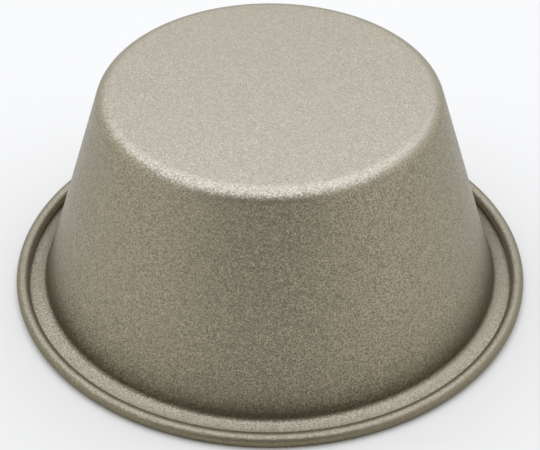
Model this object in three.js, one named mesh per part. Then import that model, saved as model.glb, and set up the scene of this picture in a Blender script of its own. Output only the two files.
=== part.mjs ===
// Individual pudding mould, standing mouth down on its rim.
// One sheet of steel is drawn into a tapered cup, and its edge is rolled over a steel wire.
// Millimetres, +Z up. The origin is the centre of the plane that the rim rests on.

import * as THREE from 'three';

// Driving dimensions of the pressing
const RIM_RADIUS = 56;
const HEIGHT = 48.1;
const BASE_PLANE_RADIUS = 35.4;
const WALL_TAPER_DEG = 16.75;
const SHEET = 0.6;
const BASE_CORNER_RADIUS = 3.3;
const FLANGE_FILLET_RADIUS = 1.5;

// Driving dimensions of the rolled edge
const BEAD_RADIUS = 1.45;
const CURL_END_DEG = 202.5;
const WIRE_RADIUS = 0.75;

// Facets of the revolved surfaces
const TURN_STEPS = 72;
const CORNER_STEPS = 5;
const FILLET_STEPS = 6;
const CURL_STEPS = 13;
const WIRE_STEPS = 12;

// Directions in the half section, measured from the radius towards +Z
const UP_DEG = 90;
const CURL_START_DEG = -90;
const FLANGE_DEG = 270;
const WALL_FACING_DEG = 180 + WALL_TAPER_DEG;

const taper = THREE.MathUtils.degToRad(WALL_TAPER_DEG);

// Radius at which a circle of the given size and height touches the wall's outer face.
// A positive radius lies outside the wall, and a negative one inside it.
function radiusTouchingWall(radius, height) {
  const drop = HEIGHT - height;
  return BASE_PLANE_RADIUS + (radius + drop * Math.sin(taper)) / Math.cos(taper);
}

const cornerCentre = new THREE.Vector2(
  radiusTouchingWall(-BASE_CORNER_RADIUS, HEIGHT - BASE_CORNER_RADIUS),
  HEIGHT - BASE_CORNER_RADIUS,
);
const filletHeight = SHEET + FLANGE_FILLET_RADIUS;
const filletCentre = new THREE.Vector2(
  radiusTouchingWall(FLANGE_FILLET_RADIUS, filletHeight),
  filletHeight,
);
const curlCentre = new THREE.Vector2(RIM_RADIUS - BEAD_RADIUS, BEAD_RADIUS);

// Points of an arc in the half section, both ends included
function arc(centre, radius, fromDeg, toDeg, steps) {
  const points = [];
  for (let step = 0; step <= steps; step += 1) {
    const angle = THREE.MathUtils.degToRad(THREE.MathUtils.lerp(fromDeg, toDeg, step / steps));
    const reach = new THREE.Vector2(Math.cos(angle), Math.sin(angle));
    points.push(reach.multiplyScalar(radius).add(centre));
  }
  return points;
}

// Outside of the cup, from the middle of the base to the cut edge hidden in the roll
function outsideSkin() {
  const bore = BEAD_RADIUS - SHEET;
  return [
    new THREE.Vector2(0, HEIGHT),
    ...arc(cornerCentre, BASE_CORNER_RADIUS, UP_DEG, WALL_TAPER_DEG, CORNER_STEPS),
    ...arc(filletCentre, FLANGE_FILLET_RADIUS, WALL_FACING_DEG, FLANGE_DEG, FILLET_STEPS),
    ...arc(curlCentre, bore, CURL_START_DEG, CURL_END_DEG, CURL_STEPS),
  ];
}

// Inside of the cup, from the cut edge round the bead and back to the middle of the base
function insideSkin() {
  const cornerInside = BASE_CORNER_RADIUS - SHEET;
  const filletInside = FLANGE_FILLET_RADIUS + SHEET;
  return [
    ...arc(curlCentre, BEAD_RADIUS, CURL_END_DEG, CURL_START_DEG, CURL_STEPS),
    ...arc(filletCentre, filletInside, FLANGE_DEG, WALL_FACING_DEG, FILLET_STEPS),
    ...arc(cornerCentre, cornerInside, WALL_TAPER_DEG, UP_DEG, CORNER_STEPS),
    new THREE.Vector2(0, HEIGHT - SHEET),
  ];
}

// Revolves a half section about +Z
function revolved(name, halfSection, material) {
  const geometry = new THREE.LatheGeometry(halfSection, TURN_STEPS);
  geometry.rotateX(Math.PI / 2);
  const mesh = new THREE.Mesh(geometry, material);
  mesh.name = name;
  return mesh;
}

function pressedShell() {
  const coat = new THREE.MeshStandardMaterial({ color: 0xada694, roughness: 0.45, metalness: 0.6 });
  return revolved('pressed_shell', [...outsideSkin(), ...insideSkin()].reverse(), coat);
}

// The wire is a closed ring that the rolled edge holds captive
function rimWire() {
  const steel = new THREE.MeshStandardMaterial({ color: 0x9a9a98, roughness: 0.4, metalness: 1 });
  const section = arc(curlCentre, WIRE_RADIUS, 0, 360, WIRE_STEPS);
  return revolved('rim_wire', section, steel);
}

const puddingMould = new THREE.Group();
puddingMould.add(pressedShell());
puddingMould.add(rimWire());

export default puddingMould;
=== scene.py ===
"""Looks of an individual pudding mould, laid out as an add-on and run as a script."""

import math

import bpy
from bpy.props import FloatProperty, FloatVectorProperty, IntProperty, PointerProperty
from mathutils import Euler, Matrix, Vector


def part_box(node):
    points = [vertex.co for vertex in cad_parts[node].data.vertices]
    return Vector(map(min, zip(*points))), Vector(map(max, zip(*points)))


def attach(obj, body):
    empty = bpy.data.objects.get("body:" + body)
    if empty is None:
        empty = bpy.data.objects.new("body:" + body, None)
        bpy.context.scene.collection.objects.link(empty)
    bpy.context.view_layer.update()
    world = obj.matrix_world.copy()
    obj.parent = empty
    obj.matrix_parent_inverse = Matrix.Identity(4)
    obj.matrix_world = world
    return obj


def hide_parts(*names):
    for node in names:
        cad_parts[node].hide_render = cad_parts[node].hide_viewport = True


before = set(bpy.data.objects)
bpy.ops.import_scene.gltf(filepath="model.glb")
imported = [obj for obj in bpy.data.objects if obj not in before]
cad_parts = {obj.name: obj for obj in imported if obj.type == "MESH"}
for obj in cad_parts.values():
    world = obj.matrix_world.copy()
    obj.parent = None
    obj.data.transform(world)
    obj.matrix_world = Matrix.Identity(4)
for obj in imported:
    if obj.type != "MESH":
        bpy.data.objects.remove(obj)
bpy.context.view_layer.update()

bl_info = {
    "name": "Pudding Mould",
    "version": (1, 0, 0),
    "blender": (4, 5, 0),
    "location": "View3D > Sidebar > Mould",
    "description": "Builds a pressed pudding mould with a rolled rim, its coat and its studio",
    "category": "Object",
}

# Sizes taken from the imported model, in metres
_, SHELL_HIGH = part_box("pressed_shell")
WIRE_LOW, WIRE_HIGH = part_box("rim_wire")
WIRE_RADIUS = (WIRE_HIGH.z - WIRE_LOW.z) / 2

# The middle of the wire lies one bead radius above the plane that the rim rests on
BEAD_RADIUS = (WIRE_HIGH.z + WIRE_LOW.z) / 2

MM = 0.001

BODY = "root"
QUARTER_TURN = math.pi / 2

# Marks on the shell's points, from 0 to 1
CREST = "crest"
# The rim mark lays painted shade on the foot of the wall, the hollow, the flange and the bead
RIM_SHADE = "rim"
DRAWN = "drawn"

WHITE = (1.0, 1.0, 1.0)
MID_GREY = (0.5, 0.5, 0.5)


class ShellSizes(bpy.types.PropertyGroup):
    """Sizes of the pressed sheet and of its rolled edge."""

    rim_radius: FloatProperty(
        name="Rim Radius",
        description="Outside radius of the rolled bead",
        default=SHELL_HIGH.x,
        unit="LENGTH",
    )
    height: FloatProperty(
        name="Height",
        description="Height of the base above the plane that the rim rests on",
        default=SHELL_HIGH.z,
        unit="LENGTH",
    )
    base_plane_radius: FloatProperty(
        name="Base Plane Radius",
        description="Radius at which the wall's outer face would meet the base",
        default=35.4 * MM,
        unit="LENGTH",
    )
    wall_taper: FloatProperty(
        name="Wall Taper",
        description="Angle of the wall from the mould's axis",
        default=math.radians(16.75),
        subtype="ANGLE",
    )
    sheet: FloatProperty(
        name="Sheet",
        description="Thickness of the steel sheet with its coat",
        default=0.6 * MM,
        unit="LENGTH",
    )
    base_corner: FloatProperty(
        name="Base Corner",
        description="Outside radius of the corner between base and wall",
        default=3.3 * MM,
        unit="LENGTH",
    )
    flange_fillet: FloatProperty(
        name="Flange Fillet",
        description="Outside radius of the hollow between wall and flange",
        default=1.5 * MM,
        unit="LENGTH",
    )
    flange_slope: FloatProperty(
        name="Flange Slope",
        description="Slope of the dished flange next to the hollow, which fades out towards the bead",
        default=math.radians(23),
        subtype="ANGLE",
    )
    bead_radius: FloatProperty(
        name="Bead Radius",
        description="Outside radius of the rolled edge",
        default=BEAD_RADIUS,
        unit="LENGTH",
    )
    curl: FloatProperty(
        name="Curl",
        description="Angle through which the edge is rolled",
        default=math.radians(292.5),
        subtype="ANGLE",
    )
    wire_radius: FloatProperty(
        name="Wire Radius",
        description="Radius of the wire inside the rolled edge",
        default=WIRE_RADIUS,
        unit="LENGTH",
    )
    turn_steps: IntProperty(
        name="Turn Steps",
        description="Faces in one turn about the axis",
        default=240,
    )
    span_steps: IntProperty(
        name="Span Steps",
        description="Faces along each arc or straight of the section",
        default=18,
    )


class CoatFinish(bpy.types.PropertyGroup):
    """Colours and grain of the non-stick coat."""

    colour: FloatVectorProperty(
        name="Colour",
        description="Champagne grey of the coat",
        default=(0.309, 0.277, 0.189),
        subtype="COLOR",
    )
    crest_colour: FloatVectorProperty(
        name="Crest Colour",
        description="Slightly paler grey where the coat is thin on the outer bends",
        default=(0.319, 0.286, 0.195),
        subtype="COLOR",
    )
    # Painted shade: a darker, warmer grey on the foot of the wall, the hollow, the flange and the bead
    rim_shade_colour: FloatVectorProperty(
        name="Rim Shade Colour",
        description="Darker, warmer grey painted on the rim as the shade of its hollow, flange and bead",
        default=(0.217, 0.19, 0.119),
        subtype="COLOR",
    )
    edge_colour: FloatVectorProperty(
        name="Edge Colour",
        description="Tint of the coat's reflection where it is seen at a flat angle",
        default=(0.69, 0.69, 0.69),
        subtype="COLOR",
    )
    grain: FloatProperty(
        name="Grain",
        description="Width of one flake of the speckle",
        default=0.19 * MM,
        unit="LENGTH",
    )
    flake_contrast: FloatProperty(
        name="Flake Contrast",
        description="How far the brightness of one flake strays from the mean on the flat base",
        default=0.17,
        subtype="FACTOR",
    )
    drawn_contrast: FloatProperty(
        name="Drawn Contrast",
        description="How far the brightness of one flake strays where drawing has stretched the coat",
        default=0.43,
        subtype="FACTOR",
    )
    flake_gloss: FloatProperty(
        name="Flake Gloss",
        description="How far the roughness of one flake strays from the mean, where pale flakes are smooth",
        default=0.15,
        subtype="FACTOR",
    )
    flake_lean: FloatVectorProperty(
        name="Flake Lean",
        description="How far flakes lean along each axis",
        default=(0.17, 0.17, 0.3),
        subtype="XYZ",
    )
    peel: FloatProperty(
        name="Peel",
        description="Width of one wave of the sprayed coat",
        default=3.0 * MM,
        unit="LENGTH",
    )
    peel_relief: FloatProperty(
        name="Peel Relief",
        description="Height of the waves of the sprayed coat",
        default=0.008 * MM,
        unit="LENGTH",
    )
    roughness: FloatProperty(
        name="Roughness",
        description="Mean roughness of the flakes",
        default=0.44,
        subtype="FACTOR",
    )
    metal: FloatProperty(
        name="Metal",
        description="Share of the coat that reflects as metal flake",
        default=0.88,
        subtype="FACTOR",
    )
    glaze: FloatProperty(
        name="Glaze",
        description="Share of the clear binder that covers the flakes",
        default=0.25,
        subtype="FACTOR",
    )
    glaze_roughness: FloatProperty(
        name="Glaze Roughness",
        description="Roughness of the clear binder",
        default=0.31,
        subtype="FACTOR",
    )


class StageSettings(bpy.types.PropertyGroup):
    """Camera, lamps and floor."""

    camera_distance: FloatProperty(
        name="Camera Distance",
        description="Distance of the camera from the middle of the mouth",
        default=383.8 * MM,
        unit="LENGTH",
    )
    camera_elevation: FloatProperty(
        name="Camera Elevation",
        description="Elevation of the camera seen from the middle of the mouth",
        default=math.radians(39.79),
        subtype="ANGLE",
    )
    camera_pitch: FloatProperty(
        name="Camera Pitch",
        description="Angle of the camera's axis below the horizon",
        default=math.radians(38.34),
        subtype="ANGLE",
    )
    camera_lens: FloatProperty(
        name="Camera Lens",
        description="Focal length on a sensor 36 mm wide",
        default=114.7,
        unit="CAMERA",
    )
    floor_colour: FloatVectorProperty(
        name="Floor Colour",
        description="Pale beige of the paper floor, which looks white under the cool softbox",
        default=(0.678, 0.65, 0.521),
        subtype="COLOR",
    )
    room_light: FloatProperty(
        name="Room Light",
        description="Even light from all round, where 1 is white",
        default=0.62,
        subtype="FACTOR",
    )
    softbox_place: FloatVectorProperty(
        name="Softbox Place",
        description="Middle of the softbox, which hangs above and behind the mould",
        default=(0.0, 0.24, 0.93),
        subtype="TRANSLATION",
    )
    softbox_size: FloatVectorProperty(
        name="Softbox Size",
        description="Width and depth of the softbox",
        default=(2.1, 1.9),
        size=2,
        unit="LENGTH",
    )
    softbox_brightness: FloatProperty(
        name="Softbox Brightness",
        description="Brightness of the softbox's face, where 1 is white",
        default=1.54,
    )
    softbox_colour: FloatVectorProperty(
        name="Softbox Colour",
        description="Cool white of the softbox, which the beige floor evens out",
        default=(0.92, 1.0, 1.44),
        subtype="COLOR",
    )
    front_colour: FloatVectorProperty(
        name="Front Colour",
        description="Colour of the room on the camera's side, where the rest is white",
        default=(0.0216, 0.02, 0.016),
        subtype="COLOR",
    )
    front_fade: FloatProperty(
        name="Front Fade",
        description="Angle from the front within which the room fades from the front colour to white",
        default=math.radians(60),
        subtype="ANGLE",
    )


class Rule:
    """A value in a node tree, so that the tree's sums read as plain arithmetic."""

    def __init__(self, tree, socket):
        self.tree = tree
        self.socket = socket

    def combined(self, operation, *others):
        node = self.tree.nodes.new("ShaderNodeMath")
        node.operation = operation
        for place, value in enumerate((self, *others)):
            feed(self.tree, node.inputs[place], value)
        return Rule(self.tree, node.outputs[0])

    def __add__(self, other):
        return self.combined("ADD", other)

    def __sub__(self, other):
        return self.combined("SUBTRACT", other)

    def __mul__(self, other):
        return self.combined("MULTIPLY", other)

    def __truediv__(self, other):
        return self.combined("DIVIDE", other)

    def __mod__(self, other):
        return self.combined("MODULO", other)

    def __neg__(self):
        return self * -1

    def sine(self):
        return self.combined("SINE")

    def cosine(self):
        return self.combined("COSINE")

    def floor(self):
        return self.combined("FLOOR")

    def at_least(self, other):
        return self.combined("MAXIMUM", other)


def feed(tree, socket, value):
    """Links a rule to a socket, or sets the socket to a plain value."""
    if isinstance(value, Rule):
        tree.links.new(value.socket, socket)
    else:
        socket.default_value = value


def add_node(tree, kind, inputs=None, **settings):
    """Adds a node, sets its options and feeds its inputs by name or place."""
    node = tree.nodes.new(kind)
    for name, value in settings.items():
        setattr(node, name, value)
    for name, value in (inputs or {}).items():
        feed(tree, node.inputs[name], value)
    return node


def new_rule_tree(name, inputs):
    """A geometry tree with the named inputs, and its inputs as rules."""
    tree = bpy.data.node_groups.new(name, "GeometryNodeTree")
    for label, kind in inputs.items():
        tree.interface.new_socket(label, in_out="INPUT", socket_type=kind)
    tree.interface.new_socket("Geometry", in_out="OUTPUT", socket_type="NodeSocketGeometry")
    entry = tree.nodes.new("NodeGroupInput")
    rules = {label: Rule(tree, entry.outputs[label]) for label in inputs}
    return tree, rules


def vector_rule(tree, x=0.0, y=0.0, z=0.0):
    node = add_node(tree, "ShaderNodeCombineXYZ", {"X": x, "Y": y, "Z": z})
    return Rule(tree, node.outputs[0])


def finish_tree(tree, geometry, coat):
    """Realises, smooths and coats the geometry, and ends the tree with it."""
    realised = add_node(tree, "GeometryNodeRealizeInstances", {"Geometry": geometry})
    smooth = add_node(tree, "GeometryNodeSetShadeSmooth", {"Geometry": Rule(tree, realised.outputs[0])})
    painted = add_node(
        tree,
        "GeometryNodeSetMaterial",
        {"Geometry": Rule(tree, smooth.outputs[0]), "Material": coat},
    )
    end = tree.nodes.new("NodeGroupOutput")
    tree.links.new(painted.outputs[0], end.inputs[0])


def drop_empty_slots(mesh):
    """Takes out the material slots that hold nothing."""
    for place in reversed(range(len(mesh.materials))):
        if mesh.materials[place] is None:
            mesh.materials.pop(index=place)


def plain_piece(name, tree, values):
    """An object whose plain mesh is what the tree makes of the values."""
    piece = bpy.data.objects.new(name, bpy.data.meshes.new(name))
    bpy.context.scene.collection.objects.link(piece)
    modifier = piece.modifiers.new("Rule", "NODES")
    modifier.node_group = tree
    for item in tree.interface.items_tree:
        if item.in_out == "INPUT":
            modifier[item.identifier] = values[item.name]
    depsgraph = bpy.context.evaluated_depsgraph_get()
    mesh = bpy.data.meshes.new_from_object(
        piece.evaluated_get(depsgraph), preserve_all_data_layers=True, depsgraph=depsgraph
    )
    if not mesh.polygons:
        raise RuntimeError(f"the rule for {name} made no faces")
    drop_empty_slots(mesh)
    piece.modifiers.remove(modifier)
    piece.data = mesh
    mesh.name = name
    return piece


def section_stations(size):
    """Stations of the sheet's half section, from the base's middle round the cut edge and back.

    Each station is the centre of an arc, the reach from that centre, the direction of the reach, how
    far the stretch that starts there bends outwards, whether the station lies on the rim, which the coat
    darkens as painted shade, and whether drawing has stretched the sheet there, each as 0 or 1. Between
    two stations all but the bend change evenly, which gives an arc or a straight. Where two arcs meet,
    the stretch between them has no length and is merged away.
    """
    tree = size["Height"].tree
    taper = size["Wall Taper"]
    slope = size["Flange Slope"]
    sheet = size["Sheet"]
    corner = size["Base Corner"]
    hollow = size["Flange Fillet"]
    bead = size["Bead Radius"]
    wall_radius = size["Base Plane Radius"]

    # The corner's circle touches the base and the wall
    corner_height = size["Height"] - corner
    corner_radius = wall_radius + corner * (taper.sine() - 1.0) / taper.cosine()

    # The dish starts flat beside the bead and touches the hollow's circle, which touches the wall
    curl_radius = size["Rim Radius"] - bead
    flat_radius = curl_radius - bead
    wall_rise = size["Height"] - sheet - hollow
    room = (flat_radius - wall_radius) * taper.cosine() - wall_rise * taper.sine() - hollow
    widening = room / ((taper + slope).sine() - taper.sine())
    hollow_radius = flat_radius - widening * slope.sine()
    hollow_height = sheet + hollow + widening - widening * slope.cosine()
    dish = hollow + widening

    axis_point = vector_rule(tree, z=corner_height)
    corner_point = vector_rule(tree, x=corner_radius, z=corner_height)
    hollow_point = vector_rule(tree, x=hollow_radius, z=hollow_height)
    dish_point = vector_rule(tree, x=flat_radius, z=sheet + dish)
    curl_point = vector_rule(tree, x=curl_radius, z=bead)
    dish_end = -slope + QUARTER_TURN
    curl_end = size["Curl"] + QUARTER_TURN
    outside = [
        (axis_point, corner, QUARTER_TURN, 0.0, 0.0, 0.0),
        (corner_point, corner, QUARTER_TURN, 1.0, 0.0, 0.0),
        (corner_point, corner, taper, 0.0, 0.0, 1.0),
        (hollow_point, -hollow, taper, 0.0, 1.0, 1.0),
        (hollow_point, -hollow, dish_end, 0.0, 1.0, 0.0),
        (dish_point, -dish, dish_end, 0.0, 1.0, 0.0),
        (dish_point, -dish, QUARTER_TURN, 0.0, 1.0, 0.0),
        (curl_point, sheet - bead, QUARTER_TURN, 0.0, 1.0, 0.0),
        (curl_point, sheet - bead, curl_end, 0.0, 1.0, 0.0),
    ]
    inside = [
        (curl_point, -bead, curl_end, 1.0, 1.0, 0.0),
        (curl_point, -bead, QUARTER_TURN, 0.0, 1.0, 0.0),
        (dish_point, -dish - sheet, QUARTER_TURN, 0.0, 0.0, 0.0),
        (dish_point, -dish - sheet, dish_end, 0.0, 0.0, 0.0),
        (hollow_point, -hollow - sheet, dish_end, 0.0, 0.0, 0.0),
        (hollow_point, -hollow - sheet, taper, 0.0, 0.0, 1.0),
        (corner_point, corner - sheet, taper, 0.0, 0.0, 1.0),
        (corner_point, corner - sheet, QUARTER_TURN, 0.0, 0.0, 0.0),
        (axis_point, corner - sheet, QUARTER_TURN, 0.0, 0.0, 0.0),
    ]
    return outside + inside


def picked(tree, kind, values, index):
    """The value at an index."""
    node = tree.nodes.new("GeometryNodeIndexSwitch")
    node.data_type = kind
    while len(node.index_switch_items) < len(values):
        node.index_switch_items.new()
    feed(tree, node.inputs["Index"], index)
    for place, value in enumerate(values):
        feed(tree, node.inputs[str(place)], value)
    return Rule(tree, node.outputs[0])


# Endings of a mix node's sockets for each kind of value
MIX_ENDINGS = {"FLOAT": "Float", "VECTOR": "Vector", "RGBA": "Color"}


def mixed(tree, kind, share, first, second):
    """A value at a share of the way from the first to the second."""
    node = add_node(tree, "ShaderNodeMix", data_type=kind)
    inputs = {socket.identifier: socket for socket in node.inputs}
    outputs = {socket.identifier: socket for socket in node.outputs}
    ending = MIX_ENDINGS[kind]
    feed(tree, inputs["Factor_Float"], share)
    feed(tree, inputs["A_" + ending], first)
    feed(tree, inputs["B_" + ending], second)
    return Rule(tree, outputs["Result_" + ending])


def blended(tree, kind, share, values, index):
    """The value at a share of the way from one station to the next."""
    here = picked(tree, kind, values, index)
    there = picked(tree, kind, values, index + 1)
    return mixed(tree, kind, share, here, there)


def marked_points(tree, geometry, name, value):
    """The geometry with a value stored under a name on its points."""
    node = add_node(
        tree,
        "GeometryNodeStoreNamedAttribute",
        {"Geometry": geometry, "Name": name, "Value": value},
        data_type="FLOAT",
        domain="POINT",
    )
    return Rule(tree, node.outputs[0])


SHELL_INPUTS = {
    "Rim Radius": "NodeSocketFloat",
    "Height": "NodeSocketFloat",
    "Base Plane Radius": "NodeSocketFloat",
    "Wall Taper": "NodeSocketFloat",
    "Sheet": "NodeSocketFloat",
    "Base Corner": "NodeSocketFloat",
    "Flange Fillet": "NodeSocketFloat",
    "Flange Slope": "NodeSocketFloat",
    "Bead Radius": "NodeSocketFloat",
    "Curl": "NodeSocketFloat",
    "Turn Steps": "NodeSocketInt",
    "Span Steps": "NodeSocketInt",
    "Coat": "NodeSocketMaterial",
}
MERGE_DISTANCE = 1e-6

# Keeps the last column of a stretch in that stretch
LAST_SPAN_MARGIN = 1e-4

# Power that holds the rim's painted shade on the wall close to the hollow
RIM_SHADE_FADE = 8.0


def shell_tree():
    """Revolves the sheet's half section about the axis."""
    tree, size = new_rule_tree("Pressed Shell", SHELL_INPUTS)
    centres, reaches, directions, bends, shaded_rims, draws = zip(*section_stations(size))
    spans = len(centres) - 1
    turns = size["Turn Steps"]
    columns = size["Span Steps"] * spans + 1
    rows = turns + 1
    grid = add_node(tree, "GeometryNodeMeshGrid", {"Vertices X": columns, "Vertices Y": rows})
    place = Rule(tree, tree.nodes.new("GeometryNodeInputIndex").outputs[0])
    column = (place / rows).floor()
    row = place % rows
    along = column / size["Span Steps"]
    station = (along - LAST_SPAN_MARGIN).floor().at_least(0.0)
    share = along - station
    centre = blended(tree, "VECTOR", share, centres, station)
    reach = blended(tree, "FLOAT", share, reaches, station)
    direction = blended(tree, "FLOAT", share, directions, station)
    split = add_node(tree, "ShaderNodeSeparateXYZ", {"Vector": centre})
    radius = Rule(tree, split.outputs["X"]) + reach * direction.cosine()
    height = Rule(tree, split.outputs["Z"]) + reach * direction.sine()
    turn = row * math.tau / turns
    point = vector_rule(tree, x=radius * turn.cosine(), y=radius * turn.sine(), z=height)
    marks = {
        CREST: picked(tree, "FLOAT", bends, station) * (share * math.pi).sine(),
        # painted shade on the rim, held close to the hollow where it runs up the wall
        RIM_SHADE: blended(tree, "FLOAT", share, shaded_rims, station).combined("POWER", RIM_SHADE_FADE),
        DRAWN: blended(tree, "FLOAT", share, draws, station),
    }
    marked = Rule(tree, grid.outputs["Mesh"])
    for name, value in marks.items():
        marked = marked_points(tree, marked, name, value)
    revolved = add_node(
        tree,
        "GeometryNodeSetPosition",
        {"Geometry": marked, "Position": point},
    )
    closed = add_node(
        tree,
        "GeometryNodeMergeByDistance",
        {"Geometry": Rule(tree, revolved.outputs[0]), "Distance": MERGE_DISTANCE},
    )
    finish_tree(tree, Rule(tree, closed.outputs[0]), size["Coat"])
    return tree


WIRE_INPUTS = {
    "Ring Radius": "NodeSocketFloat",
    "Ring Height": "NodeSocketFloat",
    "Wire Radius": "NodeSocketFloat",
    "Turn Steps": "NodeSocketInt",
    "Wire Steps": "NodeSocketInt",
    "Steel": "NodeSocketMaterial",
}
WIRE_STEPS = 24


def wire_tree():
    """Carries the wire's round section along the ring that the rolled edge closes on."""
    tree, size = new_rule_tree("Rim Wire", WIRE_INPUTS)
    ring = add_node(
        tree,
        "GeometryNodeCurvePrimitiveCircle",
        {"Resolution": size["Turn Steps"], "Radius": size["Ring Radius"]},
    )
    section = add_node(
        tree,
        "GeometryNodeCurvePrimitiveCircle",
        {"Resolution": size["Wire Steps"], "Radius": size["Wire Radius"]},
    )
    swept = add_node(
        tree,
        "GeometryNodeCurveToMesh",
        {"Curve": Rule(tree, ring.outputs["Curve"]), "Profile Curve": Rule(tree, section.outputs["Curve"])},
    )
    raised = add_node(
        tree,
        "GeometryNodeTransform",
        {
            "Geometry": Rule(tree, swept.outputs[0]),
            "Translation": vector_rule(tree, z=size["Ring Height"]),
        },
    )
    finish_tree(tree, Rule(tree, raised.outputs[0]), size["Steel"])
    return tree


def new_material(name):
    """A node material, and its surface shader."""
    material = bpy.data.materials.new(name)
    material.use_nodes = True
    return material, material.node_tree.nodes["Principled BSDF"]


def object_point(tree):
    return Rule(tree, tree.nodes.new("ShaderNodeTexCoord").outputs["Object"])


def noise(tree, point, width):
    """Smooth noise from 0 to 1 whose patches are about the given width across."""
    node = add_node(tree, "ShaderNodeTexNoise", {"Vector": point, "Scale": 1 / width})
    return Rule(tree, node.outputs["Fac"])


def flakes(tree, point, width):
    """A random colour for each flake of the given width, no two neighbours alike."""
    node = add_node(tree, "ShaderNodeTexVoronoi", {"Vector": point, "Scale": 1 / width})
    return Rule(tree, node.outputs["Color"])


def vector_result(tree, operation, *values):
    """The result of an operation on vectors."""
    node = add_node(tree, "ShaderNodeVectorMath", dict(enumerate(values)), operation=operation)
    return Rule(tree, node.outputs[0])


def leaning(tree, normal, flake, lean):
    """Turns each flake from the normal by a random amount along each axis."""
    centred = vector_result(tree, "SUBTRACT", flake, MID_GREY)
    turned = vector_result(tree, "MULTIPLY_ADD", centred, lean, normal)
    return vector_result(tree, "NORMALIZE", turned)


def spread(tree, value, mean, reach, low=0.0, high=1.0):
    """Stretches a value from low to high over the reach on both sides of the mean."""
    node = add_node(
        tree,
        "ShaderNodeMapRange",
        {"Value": value, "From Min": low, "From Max": high, "To Min": mean - reach, "To Max": mean + reach},
    )
    return Rule(tree, node.outputs[0])


def opaque(colour):
    """The colour with full cover, as the shaders' sockets take it."""
    return (*colour, 1.0)


def relief(tree, height, depth):
    """Turns the surface by a height map of the given depth."""
    node = add_node(tree, "ShaderNodeBump", {"Height": height, "Distance": depth, "Strength": 1.0})
    return Rule(tree, node.outputs[0])


def mark(tree, name):
    """A value stored on the mesh's points."""
    node = add_node(tree, "ShaderNodeAttribute", attribute_name=name)
    return Rule(tree, node.outputs["Fac"])


# Stretch of a noise's values that holds nearly all of them
NOISE_LOW = 0.3
NOISE_HIGH = 0.7

# Mean share of the crest colour on an outer bend, and how far the waves of the coat vary it
CREST_SHARE = 0.75
CREST_SPREAD = 0.25


def coat_material(finish):
    """Satin non-stick coat: metal flakes in a sprayed layer that thins out on the outer bends, with painted
    shade on the rim.
    """
    material, surface = new_material("champagne_coat")
    tree = material.node_tree
    point = object_point(tree)
    wave = noise(tree, point, finish.peel)
    thin = mark(tree, CREST) * spread(tree, wave, CREST_SHARE, CREST_SPREAD, NOISE_LOW, NOISE_HIGH)
    tint = mixed(tree, "RGBA", thin, opaque(finish.colour), opaque(finish.crest_colour))
    # Painted shade: the rim mark mixes in the darker, warmer rim grey
    tint = mixed(tree, "RGBA", mark(tree, RIM_SHADE), tint, opaque(finish.rim_shade_colour))
    flake = flakes(tree, point, finish.grain)
    split = add_node(tree, "ShaderNodeSeparateColor", {"Color": flake})
    pale = Rule(tree, split.outputs[0])
    flat_paleness = spread(tree, pale, 1.0, finish.flake_contrast)
    drawn_paleness = spread(tree, pale, 1.0, finish.drawn_contrast)
    paleness = flat_paleness + (drawn_paleness - flat_paleness) * mark(tree, DRAWN)
    speckled = add_node(tree, "ShaderNodeVectorMath", {0: tint, "Scale": paleness}, operation="SCALE")
    feed(tree, surface.inputs["Base Color"], Rule(tree, speckled.outputs[0]))
    feed(tree, surface.inputs["Roughness"], spread(tree, pale, finish.roughness, -finish.flake_gloss))
    sprayed = relief(tree, wave, finish.peel_relief)
    feed(tree, surface.inputs["Normal"], leaning(tree, sprayed, flake, finish.flake_lean))
    surface.inputs["Metallic"].default_value = finish.metal
    surface.inputs["Specular Tint"].default_value = opaque(finish.edge_colour)
    surface.inputs["Coat Weight"].default_value = finish.glaze
    surface.inputs["Coat Roughness"].default_value = finish.glaze_roughness
    return material


STEEL_GREY = (0.56, 0.56, 0.55)
STEEL_GRAIN = 0.3 * MM
STEEL_ROUGHNESS = 0.4
STEEL_ROUGHNESS_SPREAD = 0.1


def steel_material():
    """Bare drawn steel wire with a fine grain."""
    material, surface = new_material("drawn_steel")
    tree = material.node_tree
    grain = noise(tree, object_point(tree), STEEL_GRAIN)
    feed(tree, surface.inputs["Roughness"], spread(tree, grain, STEEL_ROUGHNESS, STEEL_ROUGHNESS_SPREAD))
    surface.inputs["Base Color"].default_value = opaque(STEEL_GREY)
    surface.inputs["Metallic"].default_value = 1.0
    return material


class MOULD_OT_press_shell(bpy.types.Operator):
    """Press the coated shell, from its base to its rolled edge."""

    bl_idname = "mould.press_shell"
    bl_label = "Press Shell"

    def execute(self, context):
        sizes = context.scene.mould_shell
        values = {
            "Rim Radius": sizes.rim_radius,
            "Height": sizes.height,
            "Base Plane Radius": sizes.base_plane_radius,
            "Wall Taper": sizes.wall_taper,
            "Sheet": sizes.sheet,
            "Base Corner": sizes.base_corner,
            "Flange Fillet": sizes.flange_fillet,
            "Flange Slope": sizes.flange_slope,
            "Bead Radius": sizes.bead_radius,
            "Curl": sizes.curl,
            "Turn Steps": sizes.turn_steps,
            "Span Steps": sizes.span_steps,
            "Coat": coat_material(context.scene.mould_coat),
        }
        shell = plain_piece("coated_shell", shell_tree(), values)
        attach(shell, BODY)
        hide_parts("pressed_shell")
        return {"FINISHED"}


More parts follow.
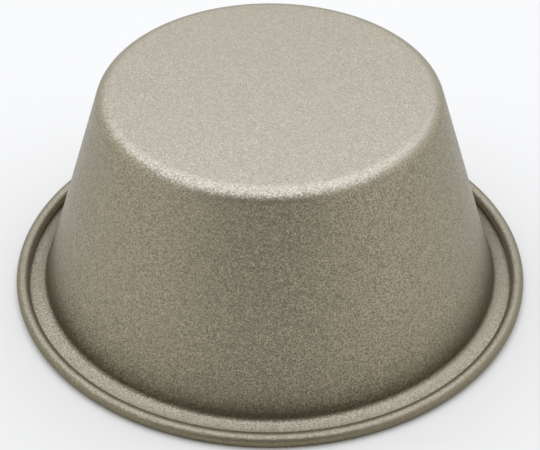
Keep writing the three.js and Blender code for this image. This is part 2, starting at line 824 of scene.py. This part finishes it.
class MOULD_OT_close_wire(bpy.types.Operator):
    """Lay the wire ring in the rolled edge."""

    bl_idname = "mould.close_wire"
    bl_label = "Close Wire"

    def execute(self, context):
        sizes = context.scene.mould_shell
        values = {
            "Ring Radius": sizes.rim_radius - sizes.bead_radius,
            "Ring Height": sizes.bead_radius,
            "Wire Radius": sizes.wire_radius,
            "Turn Steps": sizes.turn_steps,
            "Wire Steps": WIRE_STEPS,
            "Steel": steel_material(),
        }
        wire = plain_piece("rim_wire_ring", wire_tree(), values)
        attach(wire, BODY)
        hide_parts("rim_wire")
        return {"FINISHED"}


FLOOR_REACH = 6.0
SENSOR_WIDTH = 36.0
CLIP_START = 10 * MM

# Y of a ray that points straight to the camera's side
FRONT = -1.0


def lay_floor(settings):
    """A matt paper floor, wide enough to fill every view."""
    material, surface = new_material("paper_floor")
    surface.inputs["Base Color"].default_value = opaque(settings.floor_colour)
    surface.inputs["Roughness"].default_value = 1.0
    surface.inputs["Specular IOR Level"].default_value = 0.0
    corners = [
        (-FLOOR_REACH, -FLOOR_REACH, 0),
        (FLOOR_REACH, -FLOOR_REACH, 0),
        (FLOOR_REACH, FLOOR_REACH, 0),
        (-FLOOR_REACH, FLOOR_REACH, 0),
    ]
    mesh = bpy.data.meshes.new("floor")
    mesh.from_pydata(corners, [], [range(len(corners))])
    mesh.materials.append(material)
    floor = bpy.data.objects.new("floor", mesh)
    bpy.context.scene.collection.objects.link(floor)


def place_camera(settings):
    camera = bpy.data.objects.new("camera", bpy.data.cameras.new("camera"))
    bpy.context.scene.collection.objects.link(camera)
    camera.data.lens = settings.camera_lens
    camera.data.sensor_width = SENSOR_WIDTH
    camera.data.clip_start = CLIP_START
    reach = Vector((0, -math.cos(settings.camera_elevation), math.sin(settings.camera_elevation)))
    camera.location = reach * settings.camera_distance
    camera.rotation_euler = Euler((QUARTER_TURN - settings.camera_pitch, 0, 0))
    bpy.context.scene.camera = camera


def hang_softbox(settings):
    """A wide level softbox, whose power follows from its brightness and its area."""
    data = bpy.data.lights.new("softbox", "AREA")
    data.shape = "RECTANGLE"
    data.size, data.size_y = settings.softbox_size
    data.energy = settings.softbox_brightness * math.pi * data.size * data.size_y
    data.color = settings.softbox_colour
    lamp = bpy.data.objects.new("softbox", data)
    lamp.location = settings.softbox_place
    bpy.context.scene.collection.objects.link(lamp)


def light_room(settings):
    """Light from a white room that darkens towards the camera's side, and looks white to the camera."""
    world = bpy.data.worlds.new("studio")
    world.use_nodes = True
    tree = world.node_tree
    path = tree.nodes.new("ShaderNodeLightPath")
    seen, mirrored, passed = [
        Rule(tree, path.outputs[f"Is {kind} Ray"]) for kind in ("Camera", "Glossy", "Transmission")
    ]
    ray = Rule(tree, tree.nodes.new("ShaderNodeTexCoord").outputs["Generated"])
    split = add_node(tree, "ShaderNodeSeparateXYZ", {"Vector": ray})
    fade = add_node(
        tree,
        "ShaderNodeMapRange",
        {
            "Value": Rule(tree, split.outputs["Y"]),
            "From Min": FRONT,
            "From Max": FRONT * math.cos(settings.front_fade),
        },
        interpolation_type="SMOOTHSTEP",
    )
    white_share = Rule(tree, fade.outputs[0]).at_least(seen)
    colour = mixed(tree, "RGBA", white_share, opaque(settings.front_colour), opaque(WHITE))
    level = add_node(
        tree,
        "ShaderNodeMapRange",
        {"Value": seen.at_least(mirrored).at_least(passed), "To Min": settings.room_light, "To Max": 1.0},
    )
    background = tree.nodes["Background"]
    feed(tree, background.inputs["Color"], colour)
    feed(tree, background.inputs["Strength"], Rule(tree, level.outputs[0]))
    bpy.context.scene.world = world


class MOULD_OT_set_stage(bpy.types.Operator):
    """Set up the floor, the lamps and the camera."""

    bl_idname = "mould.set_stage"
    bl_label = "Set Stage"

    def execute(self, context):
        settings = context.scene.mould_stage
        place_camera(settings)
        lay_floor(settings)
        hang_softbox(settings)
        light_room(settings)
        context.scene.view_settings.view_transform = "Standard"
        return {"FINISHED"}


class MOULD_PT_sidebar(bpy.types.Panel):
    """Steps and sizes of the mould."""

    bl_idname = "MOULD_PT_sidebar"
    bl_label = "Pudding Mould"
    bl_space_type = "VIEW_3D"
    bl_region_type = "UI"
    bl_category = "Mould"

    def draw(self, context):
        for operator in OPERATORS:
            self.layout.operator(operator.bl_idname)
        for group in GROUPS:
            settings = getattr(context.scene, group)
            for name in settings.bl_rna.properties.keys():
                if name not in ("name", "rna_type"):
                    self.layout.prop(settings, name)


OPERATORS = (MOULD_OT_press_shell, MOULD_OT_close_wire, MOULD_OT_set_stage)
GROUPS = {"mould_shell": ShellSizes, "mould_coat": CoatFinish, "mould_stage": StageSettings}


def register():
    for group in GROUPS.values():
        bpy.utils.register_class(group)
    for name, group in GROUPS.items():
        setattr(bpy.types.Scene, name, PointerProperty(type=group))
    for operator in OPERATORS:
        bpy.utils.register_class(operator)
    bpy.utils.register_class(MOULD_PT_sidebar)


def unregister():
    bpy.utils.unregister_class(MOULD_PT_sidebar)
    for operator in reversed(OPERATORS):
        bpy.utils.unregister_class(operator)
    for name in GROUPS:
        delattr(bpy.types.Scene, name)
    for group in reversed(GROUPS.values()):
        bpy.utils.unregister_class(group)


def main():
    register()
    bpy.ops.mould.press_shell()
    bpy.ops.mould.close_wire()
    bpy.ops.mould.set_stage()


if __name__ == "__main__":
    main()
